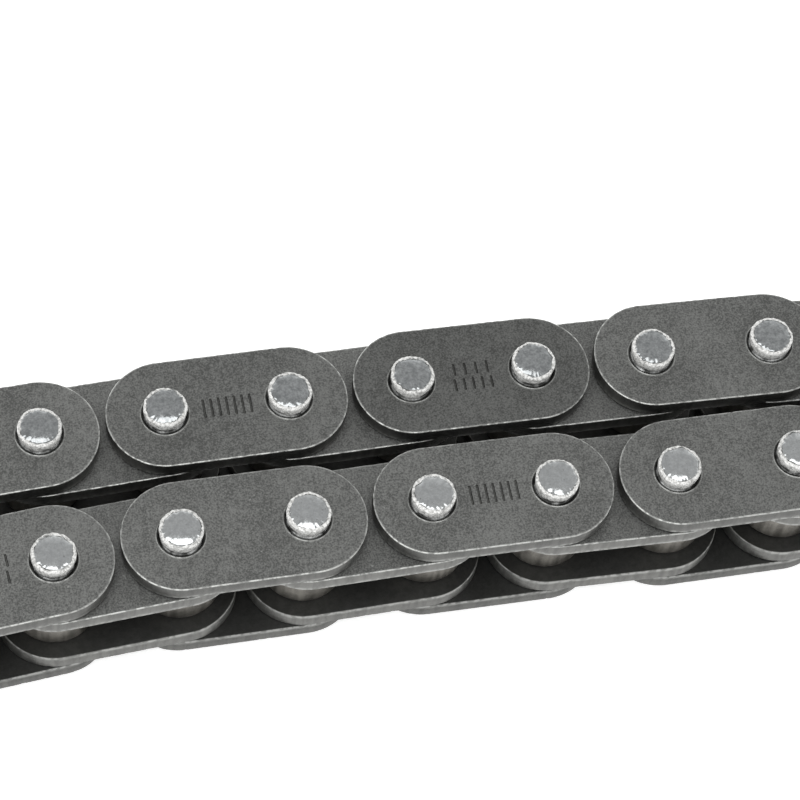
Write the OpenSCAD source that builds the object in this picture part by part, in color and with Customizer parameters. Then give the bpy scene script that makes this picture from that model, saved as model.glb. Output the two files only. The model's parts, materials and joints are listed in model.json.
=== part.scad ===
// Roller chain, an open length lying on its side and folded back on itself.
// The frame's origin is the centre of the first end bush, +X runs along the first run
// and +Z runs along the pins.

/* [Chain] */
// Distance from one pin to the next
pitch = 8; // [7.9:0.05:9]
// Gap between the two inner plates of an inner link
inner_width = 4; // [3:0.1:6]
// Gap between an inner plate and the outer plate beside it
side_clearance = 0.12; // [0.05:0.01:0.4]

/* [Plates] */
// Thickness of every link plate
plate_t = 1.2; // [0.8:0.1:1.8]
// Height of every link plate, which is also the width of its round ends
plate_h = 7.55; // [6.6:0.05:7.6]

/* [Pins, bushes and rollers] */
// Diameter of the pins
pin_d = 2.8; // [2.2:0.1:3]
// Height that a riveted pin end stands out of its outer plate
pin_head = 1.1; // [0.4:0.1:1.6]
// Height and width of the bevel around each pin end
pin_bevel = 0.25; // [0.1:0.05:0.3]
// Gap all round between a pin and its bush
pin_clearance = 0.04; // [0.02:0.01:0.1]
// Wall thickness of the bushes
bush_wall = 0.5; // [0.3:0.05:0.55]
// Gap all round between a bush and its roller
roller_clearance = 0.05; // [0.02:0.01:0.1]
// Outside diameter of the rollers
roller_d = 5.45; // [5:0.05:5.6]
// Gap between each end of a roller and the inner plate beside it
roller_end_gap = 0.1; // [0.05:0.05:0.3]
// Bevel on the edges of the rollers
roller_bevel = 0.2; // [0.05:0.05:0.25]

/* [Hidden] */
// The way each link points, in degrees from +X, from the first end to the last: nine links
// of the first run, the link that turns the chain back, and nine links of the second run.
heading = [
    4, 4.9, 3.3, -0.3, 0.7, -0.8, -1.8, -0.4, 0.6,
    87.3,
    177.3, 178.1, 178.9, 179, 180.3, 179.9, 182.1, 182.4, 181.5
];
links = len(heading);
inner_links = [1:2:links];
outer_links = [2:2:links];
ends = ["a", "b"];

inner_plate_z = inner_width / 2;
bush_top = inner_plate_z + plate_t;
outer_plate_z = bush_top + side_clearance;
pin_top = outer_plate_z + plate_t + pin_head;
bush_bore_r = pin_d / 2 + pin_clearance;
bush_r = bush_bore_r + bush_wall;
roller_bore_r = bush_r + roller_clearance;
roller_top = inner_plate_z - roller_end_gap;
// Extra length of a drill, so that it passes through both faces
drill = 1;
$fn = 96;

// Names: links are numbered from the first end, and every second one is an inner link.
function digits(k) = str(k < 10 ? "0" : "", k);
function inner_plates_name(k) = str("inner_plates_", digits(k));
function bushes_name(k) = str("bushes_", digits(k));
function roller_name(k, end) = str("roller_", digits(k), end);
function outer_plates_name(k) = str("outer_plates_", digits(k));
function pins_name(k) = str("pins_", digits(k));
function inner_names(k) = [
    inner_plates_name(k),
    bushes_name(k),
    for (end = ends) roller_name(k, end)
];
function outer_names(k) = [outer_plates_name(k), pins_name(k)];

// Pivot 0 is the first end bush, and pivot k joins link k to the link after it.
function pivot(k) = k == 0
    ? [0, 0]
    : pivot(k - 1) + pitch * [cos(heading[k - 1]), sin(heading[k - 1])];

// Puts a link's own pieces in place: its pivots lie at x = 0 and x = pitch.
module at_link(k) {
    translate(pivot(k - 1))
        rotate(heading[k - 1])
            children();
}

module at_both_pivots() {
    for (x = [0, pitch])
        translate([x, 0, 0])
            children();
}

// One stadium-shaped plate with its lower face at z = 0 and a hole at each pivot.
module plate(hole_r) {
    difference() {
        union() {
            at_both_pivots()
                cylinder(d = plate_h, h = plate_t);
            translate([0, -plate_h / 2, 0])
                cube([pitch, plate_h, plate_t]);
        }
        at_both_pivots()
            translate([0, 0, -drill])
                cylinder(r = hole_r, h = plate_t + 2 * drill);
    }
}

// The same plate above and below the chain's middle plane, from height z outwards.
module plate_pair(z, hole_r) {
    for (lower_face = [z, -z - plate_t])
        translate([0, 0, lower_face])
            plate(hole_r);
}

// Stadium plates that hold the bushes.
module inner_plates(k) {
    color([0.38, 0.38, 0.36])
        at_link(k)
            plate_pair(inner_plate_z, bush_r);
}

// Stadium plates that hold the pins.
module outer_plates(k) {
    color([0.42, 0.42, 0.4])
        at_link(k)
            plate_pair(outer_plate_z, pin_d / 2);
}

// Tubes that are pressed into the inner plates, flush with their outer faces.
module bushes(k) {
    color([0.5, 0.48, 0.45])
        at_link(k)
            at_both_pivots()
                difference() {
                    cylinder(r = bush_r, h = 2 * bush_top, center = true);
                    cylinder(r = bush_bore_r, h = 2 * bush_top + 2 * drill, center = true);
                }
}

// One roller, free to turn on its bush. The end "a" is the link's first pivot.
module roller(k, end) {
    color([0.46, 0.43, 0.38])
        at_link(k)
            translate([end == ends[0] ? 0 : pitch, 0, 0])
                rotate_extrude()
                    polygon([
                        [roller_bore_r, -roller_top],
                        [roller_d / 2 - roller_bevel, -roller_top],
                        [roller_d / 2, -roller_top + roller_bevel],
                        [roller_d / 2, roller_top - roller_bevel],
                        [roller_d / 2 - roller_bevel, roller_top],
                        [roller_bore_r, roller_top]
                    ]);
}

// Pins that are riveted into the outer plates, with a bevelled head at both ends.
module pins(k) {
    color([0.72, 0.72, 0.73])
        at_link(k)
            at_both_pivots()
                rotate_extrude()
                    polygon([
                        [0, -pin_top],
                        [pin_d / 2 - pin_bevel, -pin_top],
                        [pin_d / 2, -pin_top + pin_bevel],
                        [pin_d / 2, pin_top - pin_bevel],
                        [pin_d / 2 - pin_bevel, pin_top],
                        [0, pin_top]
                    ]);
}

for (k = inner_links) {
    inner_plates(k);
    bushes(k);
    for (end = ends)
        roller(k, end);
}
for (k = outer_links) {
    outer_plates(k);
    pins(k);
}
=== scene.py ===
"""Roller chain lying on its side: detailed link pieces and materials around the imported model."""

import json
import math

import bmesh
import bpy
from mathutils import Matrix, Vector, noise

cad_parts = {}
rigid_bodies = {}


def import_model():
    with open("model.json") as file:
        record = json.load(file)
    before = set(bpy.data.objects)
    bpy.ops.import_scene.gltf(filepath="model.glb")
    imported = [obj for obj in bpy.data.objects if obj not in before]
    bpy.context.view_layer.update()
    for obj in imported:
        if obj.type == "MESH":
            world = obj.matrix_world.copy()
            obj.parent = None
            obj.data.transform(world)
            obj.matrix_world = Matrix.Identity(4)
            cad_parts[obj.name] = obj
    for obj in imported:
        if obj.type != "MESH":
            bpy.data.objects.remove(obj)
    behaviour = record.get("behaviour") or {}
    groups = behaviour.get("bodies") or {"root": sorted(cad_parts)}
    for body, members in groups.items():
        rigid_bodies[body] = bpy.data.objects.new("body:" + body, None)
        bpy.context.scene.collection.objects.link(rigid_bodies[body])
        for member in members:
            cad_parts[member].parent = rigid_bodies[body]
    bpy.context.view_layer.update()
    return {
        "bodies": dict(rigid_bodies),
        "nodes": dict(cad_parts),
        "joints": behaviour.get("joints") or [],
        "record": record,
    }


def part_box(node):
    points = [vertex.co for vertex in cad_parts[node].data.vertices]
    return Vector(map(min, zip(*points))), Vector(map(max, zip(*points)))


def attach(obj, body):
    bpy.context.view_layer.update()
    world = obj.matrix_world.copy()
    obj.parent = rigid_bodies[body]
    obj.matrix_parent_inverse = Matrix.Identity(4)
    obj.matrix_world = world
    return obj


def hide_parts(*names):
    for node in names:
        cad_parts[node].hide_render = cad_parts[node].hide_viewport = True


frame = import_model()

MM = 0.001

# --- The chain's own sizes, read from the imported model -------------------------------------

JOINTS = {joint["name"]: joint for joint in frame["joints"]}
MOUNTS = {mount["name"]: mount for mount in frame["record"]["mounts"]}
LINKS = sum(1 for body in frame["bodies"] if body.startswith("link_"))


def pivot_point(k):
    """Pivot 0 is the first end bush, pivot k joins link k to link k + 1, and the last is the other end."""
    if k == 0:
        return Vector(MOUNTS["first_end_bore"]["pos_m"])
    if k == LINKS:
        return Vector(MOUNTS["last_end_bore"]["pos_m"])
    return Vector(JOINTS[f"pivot_{k:02d}"]["pos_m"])


PIVOTS = [pivot_point(k) for k in range(LINKS + 1)]
PITCH = (PIVOTS[1] - PIVOTS[0]).length


def link_matrix(k):
    """Link k's own frame: its pivots lie at x = 0 and x = PITCH, and z = 0 is the middle plane."""
    way = PIVOTS[k] - PIVOTS[k - 1]
    return Matrix.Translation(PIVOTS[k - 1]) @ Matrix.Rotation(math.atan2(way.y, way.x), 4, "Z")


def points_in_link(node, k):
    """The corners of a CAD node's mesh in link k's own frame."""
    to_link = link_matrix(k).inverted()
    return [to_link @ v.co for v in frame["nodes"][node].data.vertices]


def radius_at_first_pivot(node, k):
    """Largest distance from link k's first pivot among the points of its half of a round node."""
    near = [p for p in points_in_link(node, k) if p.x < PITCH / 2]
    return max(math.hypot(p.x, p.y) for p in near)


def heights(node):
    """(lowest, highest) z of the upper plate of a pair, which lies above the middle plane."""
    upper = [v.co.z for v in frame["nodes"][node].data.vertices if v.co.z > 0]
    return min(upper), max(upper)


PLATE_R = max(p.y for p in points_in_link("inner_plates_01", 1))
INNER_Z, INNER_TOP = heights("inner_plates_01")
OUTER_Z, OUTER_TOP = heights("outer_plates_02")
PIN_R = radius_at_first_pivot("pins_02", 2)
PIN_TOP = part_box("pins_02")[1].z
BUSH_R = radius_at_first_pivot("bushes_01", 1)
BORE_R = MOUNTS["first_end_bore"]["dims"]["r_mm"] * MM
ROLLER_R = radius_at_first_pivot("roller_01a", 1)
ROLLER_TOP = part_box("roller_01a")[1].z
ROLLER_BORE_R = min(math.hypot(p.x, p.y) for p in points_in_link("roller_01a", 1))

# --- Small shape details, in metres --------------------------------------------------------

DIE_ROLL = 0.08 * MM      # rounding of a plate's outward edge, where the punch drew it down
BURR_EDGE = 0.04 * MM     # small bevel on a plate's other edge
BAND = 0.55 * MM          # width of the strip along a plate's outline that carries the rounding
FRACTURE = 0.03 * MM      # how far the torn half of a sheared edge steps back
NICK = 0.03 * MM          # deepest wear of a plate's rounded edge
NICK_SIZE = 0.45 * MM     # distance over which that wear comes and goes
HOLE_EDGE = 0.03 * MM     # bevel of a plate's hole where nothing is riveted into it
COLLAR = 0.24 * MM        # width of the groove and ring that the riveting tool pressed around a pin
COLLAR_RISE = 0.03 * MM   # height of that ring over the plate
CROWN = 0.14 * MM         # rise of a pin's crowned end from its crushed rim to its middle
RIM = 0.18 * MM           # width of the crushed rim
RIM_CORNER = 0.13 * MM    # rounding of the rim's outer corner
RIM_FOOT = 1.15 * MM      # how far down a pin's side the crushed part reaches
WAIST = 0.12 * MM         # how far a pin narrows from its crushed rim down to its foot
RIM_JAG = 0.085 * MM      # how far the rim's inner line wanders
RIM_DENT = 0.035 * MM     # how far the rim is dented up and down
RIM_LIP = 0.005 * MM      # how far the crushed rim stands out over the pin's side
PIN_LEAN = 0.12           # largest slope of a pin's crown against its rim
BUSH_EDGE = 0.08 * MM     # chamfer of a bush's ends
ROLLER_EDGE = 0.2 * MM    # rounding of a roller's outer edges
ROLLER_BORE_EDGE = 0.08 * MM
MARK_DEPTH = 0.09 * MM    # depth of the stamped ticks
MARK_WIDTH = 0.16 * MM    # width of a stamped tick at the surface

# --- Mesh helpers --------------------------------------------------------------------------

SHARP = math.radians(32)


def closed_object(name, bm, cutters=None):
    """Turns a bmesh into an object, cuts the cutters out of it, and keeps its sharp edges sharp."""
    bmesh.ops.remove_doubles(bm, verts=bm.verts, dist=1e-7)
    bmesh.ops.recalc_face_normals(bm, faces=bm.faces)
    obj = linked_object(name, bm)
    if cutters:
        carve(obj, linked_object(name + "_cutters", cutters))
    shade(obj.data)
    return obj


def linked_object(name, bm):
    """Makes an object of a bmesh, and frees the bmesh."""
    mesh = bpy.data.meshes.new(name)
    bm.to_mesh(mesh)
    bm.free()
    obj = bpy.data.objects.new(name, mesh)
    bpy.context.scene.collection.objects.link(obj)
    return obj


def carve(obj, cutter):
    """Cuts one object out of another for good, and removes it."""
    step = obj.modifiers.new("carve", "BOOLEAN")
    step.operation = "DIFFERENCE"
    step.solver = "EXACT"
    step.object = cutter
    graph = bpy.context.evaluated_depsgraph_get()
    carved = bpy.data.meshes.new_from_object(obj.evaluated_get(graph))
    obj.modifiers.remove(step)
    whole = obj.data
    obj.data = carved
    carved.name = obj.name
    bpy.data.meshes.remove(whole)
    bpy.data.meshes.remove(cutter.data)


def shade(mesh):
    """Smooth faces, apart from the sharp edges between them."""
    bm = bmesh.new()
    bm.from_mesh(mesh)
    for face in bm.faces:
        face.smooth = True
    for edge in bm.edges:
        edge.smooth = edge.is_manifold and edge.calc_face_angle(0.0) < SHARP
    bm.to_mesh(mesh)
    bm.free()


def paint(obj, name, value_at):
    """Stores a number at every vertex for the materials to read."""
    layer = obj.data.attributes.new(name, "FLOAT", "POINT")
    for vertex, item in zip(obj.data.vertices, layer.data):
        item.value = value_at(vertex.co)


def bridge(bm, first, second):
    """Quads between two closed rows of the same number of points."""
    for i in range(len(first)):
        j = (i + 1) % len(first)
        quad = [first[i], first[j], second[j], second[i]]
        if len(set(quad)) == 4:
            bm.faces.new(quad)


def join(bm, other):
    """Adds one bmesh to another and frees it."""
    mesh = bpy.data.meshes.new("joined")
    other.to_mesh(mesh)
    other.free()
    bm.from_mesh(mesh)
    bpy.data.meshes.remove(mesh)


def lathe(bm, rows, point_at, centre, steps):
    """Turns rows of points about a vertical axis. point_at gives radius and z from the row and angle."""
    rings = []
    for row in range(rows):
        ring = []
        for step in range(steps):
            angle = 2 * math.pi * step / steps
            radius, z = point_at(row, angle)
            around = Vector((radius * math.cos(angle), radius * math.sin(angle), z))
            ring.append(bm.verts.new(centre + around))
        rings.append(ring)
    for ring, after in zip(rings, rings[1:]):
        bridge(bm, ring, after)
    return rings


def arc(centre_r, centre_z, radius, start, end, steps):
    """Points of a round corner in a profile, from one angle to the other in degrees."""
    angles = [math.radians(start + (end - start) * i / steps) for i in range(steps + 1)]
    return [(centre_r + radius * math.cos(a), centre_z + radius * math.sin(a)) for a in angles]


def smooth_step(low, high, value):
    """0 below low, 1 above high, and a soft slope between."""
    t = min(1.0, max(0.0, (value - low) / (high - low)))
    return t * t * (3 - 2 * t)


def finish_piece(obj, node, body):
    """Every detailed piece stands for one CAD node and rides on that node's body."""
    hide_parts(node)
    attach(obj, body)
    return obj


# --- Link plates ---------------------------------------------------------------------------

ARC_STEPS = 84
SIDE_STEPS = 36
END_STEPS = 40
SPREAD_STEPS = 7

# Link number: how much darker than the others its plates came out of the tumbling drum.
STAINS = {14: 0.28, 16: 0.08}


def half_way_round():
    """(foot, angle) along half of a link's outline, from mid-side around the first pivot to mid-side.

    The foot is an x on the line between the pivots. The outline lies at the plate's radius from it.
    """
    half = PITCH / 2
    side = [(half * (1 - i / SIDE_STEPS), math.pi / 2) for i in range(SIDE_STEPS)]
    turn = [(0.0, math.pi / 2 + math.pi * i / ARC_STEPS) for i in range(ARC_STEPS)]
    back = [(half * i / SIDE_STEPS, math.pi * 1.5) for i in range(SIDE_STEPS + 1)]
    return side + turn + back


def whole_way_round():
    """(foot, angle) along the whole outline, as one closed row."""
    first = half_way_round()[:-1]
    return first + [(PITCH - foot, angle + math.pi) for foot, angle in first]


def outline_point(foot, angle, radius, z):
    return Vector((foot + radius * math.cos(angle), radius * math.sin(angle), z))


def edge_profile(thickness):
    """(inset, z, wear) down a plate's edge: the drawn-down rounding, the sheared wall, the torn part."""
    turn = [math.radians(11.25 * i) for i in range(9)]
    rounding = [(DIE_ROLL * (1 - math.sin(a)), thickness - DIE_ROLL * (1 - math.cos(a)), 1.0) for a in turn]
    wall = [
        (0.0, thickness * 0.62, 0.3),
        (FRACTURE * 0.25, thickness * 0.40, 0.3),
        (FRACTURE, thickness * 0.32, 0.2),
        (FRACTURE, BURR_EDGE, 0.2),
        (FRACTURE + BURR_EDGE, 0.0, 0.2),
        (FRACTURE + BURR_EDGE * 2.5, 0.0, 0.1),
    ]
    flat = [(BAND, thickness, 0.0), (BAND * 0.6, thickness, 0.0), (DIE_ROLL * 1.7, thickness, 0.4)]
    return flat + rounding + wall + [(BAND, 0.0, 0.0)]


def worn_back(place, k):
    """How far link k's edges are worn back at a place, in metres."""
    rough = noise.noise(place / NICK_SIZE + Vector((k * 7.3, 0, 0)))
    fine = noise.noise(place / (NICK_SIZE * 0.3) + Vector((0, k * 5.1, 0)))
    return NICK * smooth_step(0.05, 0.75, rough * 0.7 + fine * 0.5)


def face_rings(hole_r, pressed):
    """(radius, depth) of the rings around a hole, out to where the plate is plain."""
    if pressed:
        groove = [(0.0, 3.2), (0.15, 2.6), (0.35, 0.6)]
        ridge = [(0.48, -0.6), (0.58, -1.0), (0.7, -0.8), (0.86, -0.2), (1.0, 0.0)]
        rings = [(hole_r + COLLAR * out, COLLAR_RISE * depth) for out, depth in groove + ridge]
    else:
        rings = [(hole_r, HOLE_EDGE), (hole_r + HOLE_EDGE, 0.0)]
    last = rings[-1][0]
    return rings + [(last + 0.12 * MM, 0.0), (last + 0.3 * MM, 0.0)]


def half_face(bm, hole_r, z, outward, pressed):
    """One flat side of half a plate, around the first pivot, from the hole to the edge band."""
    half = PITCH / 2
    inner_r = PLATE_R - BAND
    rim = [outline_point(foot, angle, inner_r, z) for foot, angle in half_way_round()]
    rim += [Vector((half, inner_r * (2 * (i + 1) / END_STEPS - 1), z)) for i in range(END_STEPS - 1)]
    angles = [math.atan2(p.y, p.x) for p in rim]
    rings = face_rings(hole_r, pressed)
    rows = [[outline_point(0, a, radius, z - outward * depth) for a in angles] for radius, depth in rings]
    plain = rows[-1]
    for step in range(1, SPREAD_STEPS + 1):
        rows.append([p.lerp(q, step / SPREAD_STEPS) for p, q in zip(plain, rim)])
    made = [[bm.verts.new(p) for p in row] for row in rows]
    for row, after in zip(made, made[1:]):
        bridge(bm, row, after)
    return made[0]


def plate(bm, k, z_low, hole_r, thickness, outward, pressed):
    """One stadium plate of link k. outward is +1 if its drawn-down edge faces up, -1 if it faces down."""
    made = bmesh.new()
    rows = []
    for inset, z, wear in edge_profile(thickness):
        height = z_low + (z if outward > 0 else thickness - z)
        row = []
        for foot, angle in whole_way_round():
            place = outline_point(foot, angle, PLATE_R - inset, height)
            back = worn_back(place, k) * wear
            row.append(made.verts.new(outline_point(foot, angle, PLATE_R - inset - back, height)))
        rows.append(row)
    for row, after in zip(rows, rows[1:]):
        bridge(made, row, after)
    z_high = z_low + thickness
    outer_z, inner_z = (z_high, z_low) if outward > 0 else (z_low, z_high)
    for turned in (False, True):
        half = bmesh.new()
        top = half_face(half, hole_r, outer_z, outward, pressed)
        low = half_face(half, hole_r, inner_z, -outward, False)
        bridge(half, top, low)
        if turned:
            half.transform(Matrix.Translation((PITCH, 0, 0)) @ Matrix.Rotation(math.pi, 4, "Z"))
        join(made, half)
    bmesh.ops.remove_doubles(made, verts=made.verts, dist=1e-7)
    made.transform(link_matrix(k))
    join(bm, made)


def plate_pair(node, k, z_low, z_high, hole_r, pressed):
    """The upper and lower plate of link k, with their drawn-down edges outwards."""
    bm = bmesh.new()
    thickness = z_high - z_low
    plate(bm, k, z_low, hole_r, thickness, 1, pressed)
    plate(bm, k, -z_high, hole_r, thickness, -1, pressed)
    obj = closed_object(node + "_detail", bm, stamped_ticks(k, z_high))
    to_link = link_matrix(k).inverted()

    def from_edge(p):
        return PLATE_R - math.hypot(p.x - min(max(p.x, 0.0), PITCH), p.y)

    def worn_and_highlit(place):
        """Up to 1 on the rounded edge, less on the burr edge and the raised collars, 0 elsewhere: worn
        places that the material also paints with a highlight.
        """
        p = to_link @ place
        below_face = z_high - abs(p.z)
        edge = smooth_step(DIE_ROLL * 1.6, DIE_ROLL * 0.3, from_edge(p))
        edge *= smooth_step(DIE_ROLL, 0, below_face)
        burr = smooth_step(FRACTURE + BURR_EDGE * 2, FRACTURE + BURR_EDGE, from_edge(p))
        burr *= smooth_step(BURR_EDGE * 2, BURR_EDGE, abs(p.z) - z_low)
        return max(edge, 0.4 * burr, 0.5 * smooth_step(0, -COLLAR_RISE, below_face))

    def painted_shade_at(place):
        """1 on the inner sides and in the groove around a pin, where the material paints shade, 0 elsewhere.
        """
        p = to_link @ place
        from_pivot = min(math.hypot(p.x, p.y), math.hypot(p.x - PITCH, p.y))
        groove = pressed and from_pivot < hole_r + COLLAR * 0.3
        inner = abs(p.z) < z_low + BURR_EDGE / 2 and from_edge(p) > FRACTURE + BURR_EDGE * 2
        return 1.0 if groove or inner else 0.0

    paint(obj, "wear", worn_and_highlit)
    paint(obj, "inside", painted_shade_at)
    paint(obj, "stain", lambda p: STAINS.get(k, 0.0))
    paint(obj, "side", lambda p: smooth_step(DIE_ROLL * 0.5, DIE_ROLL, z_high - abs(p.z)))
    return finish_piece(obj, node, f"link_{k:02d}")


# --- Stamped ticks -------------------------------------------------------------------------

# Rows of plain ticks on a few outer plates, one (y, length, count, spacing) for each row, in millimetres.
ONE_ROW = [(0.0, 1.25, 7, 0.5)]
TWO_ROWS = [(0.62, 0.75, 5, 0.6), (-0.5, 0.75, 4, 0.72)]
STAMPS = {2: TWO_ROWS, 6: ONE_ROW, 14: TWO_ROWS, 16: ONE_ROW, 18: TWO_ROWS}
TICK_END_STEPS = 5


def tick(bm, x, y, length, z):
    """A cutter for one tick along y: rounded ends, and walls that close in towards the bottom."""
    rows = []
    levels = ((MARK_WIDTH * 0.5, MARK_WIDTH * 1.3), (0, MARK_WIDTH), (-MARK_DEPTH, MARK_WIDTH * 0.4))
    for height, width in levels:
        row = []
        for end in (1, -1):
            for step in range(TICK_END_STEPS + 1):
                angle = math.pi * (step / TICK_END_STEPS + (0 if end > 0 else 1))
                reach = Vector((math.cos(angle), math.sin(angle), 0)) * width / 2
                row.append(bm.verts.new(Vector((x, y + end * length / 2, z + height)) + reach))
        rows.append(row)
    for row, after in zip(rows, rows[1:]):
        bridge(bm, row, after)
    bm.faces.new(rows[0])
    bm.faces.new(rows[-1])


def stamped_ticks(k, z):
    """The cutters of link k's ticks, or None for a plain link."""
    if k not in STAMPS:
        return None
    bm = bmesh.new()
    for y, length, count, spacing in STAMPS[k]:
        for i in range(count):
            x = PITCH / 2 + (i - (count - 1) / 2) * spacing * MM
            tick(bm, x, y * MM, length * MM, z)
    bmesh.ops.recalc_face_normals(bm, faces=bm.faces)
    bm.transform(link_matrix(k))
    return bm


# --- Pins, bushes and rollers --------------------------------------------------------------

PIN_STEPS = 128
TURNED_STEPS = 96
LEAN_ROOM = 0.15      # share of the largest lean that is kept free above a pin's crown
CROWN_SHARES = [0.96, 0.9, 0.82, 0.72, 0.6, 0.48, 0.36, 0.24, 0.12, 0.0]


def rim_rows():
    """(radius, drop, jag) over a pin's crushed rim, from its side inwards. jag is how much a row wanders."""
    shoulder = CROWN + RIM_CORNER
    rows = [(PIN_R, RIM_FOOT * 1.1, 0.0)]
    for share in (0.0, 0.2, 0.4, 0.6, 0.8, 1.0):
        radius = PIN_R + RIM_LIP * share - WAIST * (1 - share) ** 1.5
        rows.append((radius, RIM_FOOT + (shoulder - RIM_FOOT) * share, 0.35))
    for degrees in (25, 50, 75):
        turn = math.radians(degrees)
        radius = PIN_R + RIM_LIP - RIM_CORNER * (1 - math.cos(turn))
        rows.append((radius, shoulder - RIM_CORNER * math.sin(turn), 0.35 + degrees / 200))
    return rows + [
        (PIN_R - RIM * 0.7, CROWN - 0.015 * MM, 0.8),
        (PIN_R - RIM * 0.93, CROWN - 0.02 * MM, 1.0),
        (PIN_R - RIM, CROWN + 0.01 * MM, 1.0),
    ]


RIM_ROWS = rim_rows()
END_ROWS = len(RIM_ROWS) + len(CROWN_SHARES)


def wander(outward, row, seed):
    """Two uneven numbers, roughly from -1 to 1, for a direction and a row of a rim."""
    coarse = noise.noise(outward * 2.6 + Vector((seed, 0, row * 0.12)))
    fine = noise.noise(outward * 7.0 + Vector((0, seed, row * 0.3)))
    return coarse + fine, coarse * 0.5 + fine


def pin_end_point(row, angle, seed):
    """(radius, drop) of a point on a pin's end. Rows run up over the rim, then over the crown."""
    outward = Vector((math.cos(angle), math.sin(angle), 0))
    lean = Vector((noise.noise(Vector((seed, 0.5, 0.5))), noise.noise(Vector((0.5, seed, 0.5))), 0))
    last = len(RIM_ROWS) - 1
    plain, drop, jag = RIM_ROWS[min(row, last)]
    sideways, downwards = wander(outward, min(row, last), seed)
    shift = -sideways * jag * RIM_JAG
    drop += downwards * jag * RIM_DENT
    if row <= last:
        return plain + shift, drop
    share = CROWN_SHARES[row - last - 1]
    radius = plain * share + shift * share ** 8
    drop = CROWN * share * share + (drop - CROWN) * share ** 12
    return radius, drop - outward.dot(lean) * PIN_LEAN * radius


def pins(k):
    """Both pins of link k, each with a crowned end inside an irregular crushed rim.

    Those of the near run get a painted reflection: their crowns are painted brighter.
    """
    node = f"pins_{k:02d}"
    bm = bmesh.new()
    wear = bm.verts.layers.float.new("wear")
    room = PIN_LEAN * PIN_R * LEAN_ROOM
    for end in (0, 1):
        top_seed = k * 3.7 + end * 1.3

        def point_at(row, angle):
            if row < END_ROWS:
                radius, drop = pin_end_point(END_ROWS - 1 - row, angle, top_seed + 50)
                return radius, drop + room - PIN_TOP
            radius, drop = pin_end_point(row - END_ROWS, angle, top_seed)
            return radius, PIN_TOP - room - drop

        rings = lathe(bm, 2 * END_ROWS, point_at, PIVOTS[k - 1 + end], PIN_STEPS)
        for row in range(1, len(RIM_ROWS)):
            both_ends = rings[END_ROWS + row] + rings[END_ROWS - 1 - row]
            for vertex in both_ends:
                vertex[wear] = min(1.0, 0.6 + 0.1 * row)
    obj = closed_object(node + "_detail", bm)
    # Marks the near run's pins for the painted reflection that brightens their crowns.
    paint(obj, "painted_reflection", lambda p: 1.0 if k < LINKS / 2 else 0.0)
    return finish_piece(obj, node, f"link_{k:02d}")


def plain_rows(profile):
    """A point_at for lathe, from a plain profile of (radius, z)."""
    return lambda row, angle: profile[row]


def bushes(k):
    """Both bushes of link k, with small chamfers at their ends."""
    node = f"bushes_{k:02d}"
    bm = bmesh.new()
    edge = BUSH_EDGE
    top = INNER_TOP
    profile = [
        (BORE_R + edge, -top), (BUSH_R - edge, -top), (BUSH_R, -top + edge),
        (BUSH_R, top - edge), (BUSH_R - edge, top), (BORE_R + edge, top),
        (BORE_R, top - edge), (BORE_R, -top + edge), (BORE_R + edge, -top),
    ]
    for end in (0, 1):
        lathe(bm, len(profile), plain_rows(profile), PIVOTS[k - 1 + end], TURNED_STEPS)
    return finish_piece(closed_object(node + "_detail", bm), node, f"link_{k:02d}")


def roller(k, end):
    """One roller, with rounded edges."""
    node = f"roller_{k:02d}{'ab'[end]}"
    bm = bmesh.new()
    top = ROLLER_TOP
    outer = arc(ROLLER_R - ROLLER_EDGE, top - ROLLER_EDGE, ROLLER_EDGE, 0, 90, 6)
    inside = ROLLER_BORE_EDGE
    upper = outer + arc(ROLLER_BORE_R + inside, top - inside, inside, 90, 180, 3)
    lower = [(r, -z) for r, z in reversed(upper)]
    profile = [(ROLLER_R, 0.0)] + upper + [(ROLLER_BORE_R, 0.0)] + lower + [(ROLLER_R, 0.0)]
    lathe(bm, len(profile), plain_rows(profile), PIVOTS[k - 1 + end], TURNED_STEPS)
    return finish_piece(closed_object(node + "_detail", bm), node, node)


# --- Materials -----------------------------------------------------------------------------

# Noise scales, in repeats per metre.
SAND = 9000
CLOUD = 1300
BROAD = 190


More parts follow.
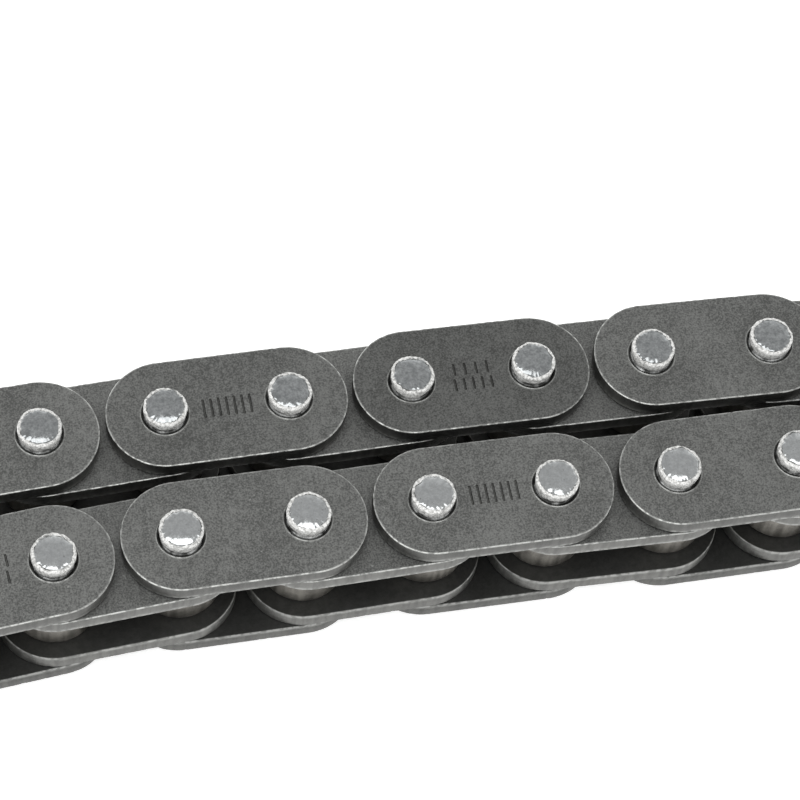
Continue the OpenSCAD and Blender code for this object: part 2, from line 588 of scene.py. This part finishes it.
class Look:
    """A metal material under construction. Values are numbers, colours or the output sockets of nodes."""

    def __init__(self, name):
        self.material = bpy.data.materials.new(name)
        self.material.use_nodes = True
        self.tree = self.material.node_tree
        self.shader = self.tree.nodes["Principled BSDF"]
        self.shader.inputs["Metallic"].default_value = 1.0
        self.place = self.tree.nodes.new("ShaderNodeTexCoord").outputs["Object"]

    def put(self, socket, value):
        if isinstance(value, bpy.types.NodeSocket):
            self.tree.links.new(value, socket)
        else:
            socket.default_value = value

    def noise(self, scale, detail=2.0, stretch=(1, 1, 1)):
        """Noise from 0 to 1, mostly near 0.5. stretch multiplies the scale along X, Y and Z."""
        mapping = self.tree.nodes.new("ShaderNodeMapping")
        mapping.inputs["Scale"].default_value = stretch
        self.put(mapping.inputs["Vector"], self.place)
        texture = self.tree.nodes.new("ShaderNodeTexNoise")
        self.put(texture.inputs["Vector"], mapping.outputs["Vector"])
        texture.inputs["Scale"].default_value = scale
        texture.inputs["Detail"].default_value = detail
        return texture.outputs["Fac"]

    def stored(self, name):
        """A number that paint() stored on the mesh."""
        attribute = self.tree.nodes.new("ShaderNodeAttribute")
        attribute.attribute_name = name
        return attribute.outputs["Fac"]

    def fit(self, value, low, high, to_low=0.0, to_high=1.0):
        """Maps low..high to to_low..to_high, and stops at both ends."""
        node = self.tree.nodes.new("ShaderNodeMapRange")
        for name, number in zip(("Value", "From Min", "From Max", "To Min", "To Max"),
                                (value, low, high, to_low, to_high)):
            self.put(node.inputs[name], number)
        return node.outputs["Result"]

    def calc(self, operation, first, second):
        node = self.tree.nodes.new("ShaderNodeMath")
        node.operation = operation
        self.put(node.inputs[0], first)
        self.put(node.inputs[1], second)
        return node.outputs["Value"]

    def blend(self, share, first, second):
        """Mixes two colours."""
        node = self.tree.nodes.new("ShaderNodeMix")
        node.data_type = "RGBA"
        self.put(node.inputs[0], share)
        self.put(node.inputs[6], first)
        self.put(node.inputs[7], second)
        return node.outputs[2]

    def total(self, *parts):
        """The sum of (weight, value) pairs."""
        scaled = [self.calc("MULTIPLY", value, weight) for weight, value in parts]
        result = scaled[0]
        for part in scaled[1:]:
            result = self.calc("ADD", result, part)
        return result

    def finish(self, color, roughness, height, depth):
        """Connects the shader. height, from 0 to 1, raises the surface by up to depth."""
        bump = self.tree.nodes.new("ShaderNodeBump")
        bump.inputs["Distance"].default_value = depth
        bump.inputs["Strength"].default_value = 1.0
        self.put(bump.inputs["Height"], height)
        self.put(self.shader.inputs["Base Color"], color)
        self.put(self.shader.inputs["Roughness"], roughness)
        self.put(self.shader.inputs["Normal"], bump.outputs["Normal"])
        return self.material


def grey(level, warmth=0.0):
    """A grey colour, faintly green as bare steel is. warmth lifts its red and lowers its blue."""
    return (level * (0.985 + warmth), level, level * (0.965 - warmth), 1)


def plate_look(name, level, side):
    """Tumbled plate steel: sandy grain, soft blotches, worn edges with a painted highlight, and painted
    shade on the inner sides and in the pin grooves.

    side is how bright the plate's sheared sides are beside its faces.
    """
    look = Look(name)
    sand = look.noise(SAND, 3)
    cloud = look.noise(CLOUD, 4)
    broad = look.noise(BROAD, 2)
    streak = look.noise(CLOUD, 2, stretch=(3.2, 0.35, 1))
    tone = look.total((0.6, sand), (0.14, cloud), (0.16, broad), (0.1, streak))
    color = look.blend(look.fit(tone, 0.41, 0.59), grey(level * 0.66), grey(level * 1.38))
    nicks = look.fit(look.noise(SAND * 0.4, 1), 0.74, 0.80)
    color = look.blend(look.calc("MULTIPLY", nicks, 0.35), color, grey(0.5))
    shear = look.fit(look.noise(SAND * 0.3, 3, stretch=(1, 1, 0.1)), 0.36, 0.62)
    sheared = look.blend(shear, grey(level * side * 0.75, 0.02), grey(level * side * 1.2, 0.02))
    color = look.blend(look.calc("MULTIPLY", look.stored("side"), 0.7), color, sheared)
    color = look.blend(look.stored("stain"), color, grey(level * 0.1))
    patchy = look.fit(look.noise(SAND * 0.3, 2), 0.40, 0.56, 0.3, 1.0)
    # Painted highlight: the worn edges, burrs and collars get a bright colour, partly real wear and partly
    # standing in for the light they catch.
    wear_and_highlight = look.calc("MULTIPLY", look.stored("wear"), patchy)
    color = look.blend(wear_and_highlight, color, grey(level * 3.6))
    # Painted shade: the inner sides and the grooves around the pins are darkened, standing in for the shade
    # there.
    inside = look.stored("inside")
    color = look.blend(look.calc("MULTIPLY", inside, 0.65), color, grey(level * 0.3))
    roughness = look.fit(tone, 0.38, 0.62, 0.48, 0.6)
    roughness = look.calc("SUBTRACT", roughness, look.calc("MULTIPLY", wear_and_highlight, 0.26))
    height = look.total((0.75, sand), (0.25, cloud))
    return look.finish(color, roughness, height, 0.014 * MM)


def pin_look():
    """Hardened pin steel: a mottled blue-grey crown, painted shade as a dark line between crown and rim, and
    a bright crushed rim.
    """
    look = Look("pin_look")
    fine = look.noise(SAND * 0.8, 3)
    mottle = look.noise(CLOUD * 2.2, 4)
    tone = look.total((0.45, fine), (0.55, mottle))
    crown = look.blend(look.fit(tone, 0.38, 0.62), (0.32, 0.335, 0.34, 1), (0.54, 0.56, 0.565, 1))
    # Painted reflection: the near run's crowns are painted brighter, as if they caught more light.
    crown = look.blend(look.calc("MULTIPLY", look.stored("painted_reflection"), 0.45), crown, (0.78, 0.8, 0.8, 1))
    pits = look.fit(look.noise(SAND * 0.5, 2), 0.33, 0.27)
    crown = look.blend(look.calc("MULTIPLY", pits, 0.5), crown, grey(0.2))
    rim = look.blend(look.fit(fine, 0.36, 0.6), (0.46, 0.46, 0.445, 1), (0.92, 0.92, 0.9, 1))
    specks = look.fit(look.noise(SAND * 0.3, 2), 0.40, 0.34)
    rim = look.blend(look.calc("MULTIPLY", specks, 0.55), rim, grey(0.16))
    wear = look.stored("wear")
    # Painted shade: a dark line in the crease between the crown and the crushed rim.
    between = look.calc("MULTIPLY", wear, look.calc("SUBTRACT", 1.0, wear))
    crease_shade = look.calc("MULTIPLY", look.fit(between, 0.04, 0.12), look.fit(look.noise(CLOUD, 2), 0.42, 0.58))
    color = look.blend(crease_shade, look.blend(wear, crown, rim), grey(0.1))
    roughness = look.calc("ADD", look.fit(tone, 0.38, 0.62, 0.06, 0.14), look.calc("MULTIPLY", wear, 0.3))
    frosted = look.calc("SUBTRACT", 1.0, look.calc("MULTIPLY", wear, 0.85))
    look.put(look.shader.inputs["Metallic"], frosted)
    height = look.total((0.5, fine), (0.5, mottle))
    return look.finish(color, roughness, height, 0.003 * MM)


def turned_look(name, dark, light, roughness, lines_scale, upright):
    """Satin steel with fine lines, for bushes and rollers. upright is the noise's scale along their axis.

    roughness is a (low, high) pair.
    """
    look = Look(name)
    lines = look.noise(lines_scale, 2, stretch=(1, 1, upright))
    cloud = look.noise(CLOUD * 0.6, 3)
    sand = look.noise(SAND, 2)
    tone = look.total((0.4, lines), (0.35, cloud), (0.25, sand))
    share = look.fit(tone, 0.38, 0.62)
    color = look.blend(share, dark, light)
    height = look.total((0.6, lines), (0.4, sand))
    return look.finish(color, look.fit(tone, 0.38, 0.62, *roughness), height, 0.006 * MM)


MATERIALS = {
    "outer_plate_steel": plate_look("outer_plate_look", 0.19, 0.5),
    "inner_plate_steel": plate_look("inner_plate_look", 0.19, 0.8),
    "pin_steel": pin_look(),
    "bush_steel": turned_look("bush_look", grey(0.24, 0.05), grey(0.4, 0.05), (0.3, 0.42), 500, 26),
    "roller_steel": turned_look("roller_look", grey(0.13, 0.07), grey(0.27, 0.06), (0.42, 0.55), 2600, 0.06),
}


def dress(obj, slot):
    """Gives a piece the look that belongs to one of the record's material slots."""
    obj.data.materials.clear()
    obj.data.materials.append(MATERIALS[slot])


# --- Building the chain --------------------------------------------------------------------


def build_chain():
    for k in range(1, LINKS + 1):
        if k % 2:
            plates = plate_pair(f"inner_plates_{k:02d}", k, INNER_Z, INNER_TOP, BUSH_R, False)
            dress(plates, "inner_plate_steel")
            dress(bushes(k), "bush_steel")
            dress(roller(k, 0), "roller_steel")
            dress(roller(k, 1), "roller_steel")
        else:
            plates = plate_pair(f"outer_plates_{k:02d}", k, OUTER_Z, OUTER_TOP, PIN_R, True)
            dress(plates, "outer_plate_steel")
            dress(pins(k), "pin_steel")


# --- Floor, light and camera ---------------------------------------------------------------

CAMERA_AZIMUTH = math.radians(-21.28)
CAMERA_ELEVATION = math.radians(60.39)
CAMERA_ROLL = math.radians(11.28)
CAMERA_LENS = 130.56
CAMERA_DISTANCE = 0.18502
CAMERA_TARGET = Vector((0.039188, 0.008761, 0.005191))

LAMP_HEIGHT = 0.6
LAMP_TURN = math.radians(-8.4)                 # heading of the softbox's long side
LAMP_FAR = LAMP_HEIGHT * math.tan(math.radians(8))
LAMP_NEAR = -LAMP_HEIGHT * math.tan(math.radians(40))
LAMP_LEFT = -0.5
LAMP_RIGHT = 0.2
LAMP_POWER = 2.2


def direction(azimuth, elevation):
    """From the object outwards. Azimuth 0 is the side that looks along +Y."""
    flat = math.cos(elevation)
    return Vector((math.sin(azimuth) * flat, -math.cos(azimuth) * flat, math.sin(elevation)))


def make_camera():
    data = bpy.data.cameras.new("camera")
    data.lens = CAMERA_LENS
    data.sensor_width = 36
    data.clip_start = 0.01
    data.clip_end = 20
    camera = bpy.data.objects.new("camera", data)
    back = direction(CAMERA_AZIMUTH, CAMERA_ELEVATION)
    level = Vector((0, 0, 1)).cross(back).normalized()
    up = back.cross(level)
    right = math.cos(CAMERA_ROLL) * level + math.sin(CAMERA_ROLL) * up
    above = -math.sin(CAMERA_ROLL) * level + math.cos(CAMERA_ROLL) * up
    turn = Matrix((right, above, back)).transposed().to_4x4()
    camera.matrix_world = Matrix.Translation(CAMERA_TARGET + back * CAMERA_DISTANCE) @ turn
    bpy.context.scene.collection.objects.link(camera)
    bpy.context.scene.camera = camera


FLOOR_GLOW = 0.6
SHADE_EDGE = 3 * MM


def make_floor():
    """A pale floor with a faint glow, which fades out between and under the chain's runs to paint shade
    there.
    """
    bpy.ops.mesh.primitive_plane_add(size=6, location=(0, 0, -PIN_TOP))
    floor = bpy.context.object
    floor.name = "floor"
    look = Look("pale_floor")
    look.shader.inputs["Metallic"].default_value = 0.0
    look.shader.inputs["Base Color"].default_value = (0.92, 0.92, 0.92, 1)
    look.shader.inputs["Roughness"].default_value = 0.9
    look.shader.inputs["Emission Color"].default_value = (1, 1, 1, 1)
    split = look.tree.nodes.new("ShaderNodeSeparateXYZ")
    look.put(split.inputs["Vector"], look.place)
    reach = []
    for axis in (0, 1):
        low = min(p[axis] for p in PIVOTS)
        high = max(p[axis] for p in PIVOTS)
        away = look.calc("ABSOLUTE", look.calc("SUBTRACT", split.outputs[axis], (low + high) / 2), 0.0)
        reach.append(look.calc("SUBTRACT", away, (high - low) / 2))
    outside = look.calc("MAXIMUM", *reach)
    # Painted shade: no glow inside the chain's resting footprint, so the floor there stays darker, also when
    # the chain is posed elsewhere.
    glow_with_painted_shade = look.fit(outside, -SHADE_EDGE, 0.0, 0.0, FLOOR_GLOW)
    look.put(look.shader.inputs["Emission Strength"], glow_with_painted_shade)
    floor.data.materials.append(look.material)


def make_softbox():
    """A level rectangular lamp above the chain. Its straight far edge shows in the crowned pin ends."""
    data = bpy.data.lights.new("softbox", "AREA")
    data.shape = "RECTANGLE"
    data.size = LAMP_RIGHT - LAMP_LEFT
    data.size_y = LAMP_FAR - LAMP_NEAR
    data.energy = LAMP_POWER
    lamp = bpy.data.objects.new("softbox", data)
    middle = Vector(((LAMP_RIGHT + LAMP_LEFT) / 2, (LAMP_FAR + LAMP_NEAR) / 2, LAMP_HEIGHT))
    turn = Matrix.Rotation(LAMP_TURN, 4, "Z")
    lamp.matrix_world = Matrix.Translation(CAMERA_TARGET) @ turn @ Matrix.Translation(middle)
    bpy.context.scene.collection.objects.link(lamp)


HORIZON_LIGHT = 1.25
SKY_LIGHT = 0.5


def make_world():
    """A studio that is bright near the horizon and dimmer overhead."""
    world = bpy.data.worlds.new("studio")
    bpy.context.scene.world = world
    world.use_nodes = True
    tree = world.node_tree
    place = tree.nodes.new("ShaderNodeTexCoord")
    split = tree.nodes.new("ShaderNodeSeparateXYZ")
    tree.links.new(place.outputs["Generated"], split.inputs["Vector"])
    level = tree.nodes.new("ShaderNodeMapRange")
    tree.links.new(split.outputs["Z"], level.inputs["Value"])
    ramp = {"From Min": 0.15, "From Max": 0.7, "To Min": HORIZON_LIGHT, "To Max": SKY_LIGHT}
    for name, number in ramp.items():
        level.inputs[name].default_value = number
    background = tree.nodes["Background"]
    background.inputs["Color"].default_value = (1, 1, 1, 1)
    tree.links.new(level.outputs["Result"], background.inputs["Strength"])
    bpy.context.scene.view_settings.view_transform = "Standard"


build_chain()
make_floor()
make_softbox()
make_world()
make_camera()
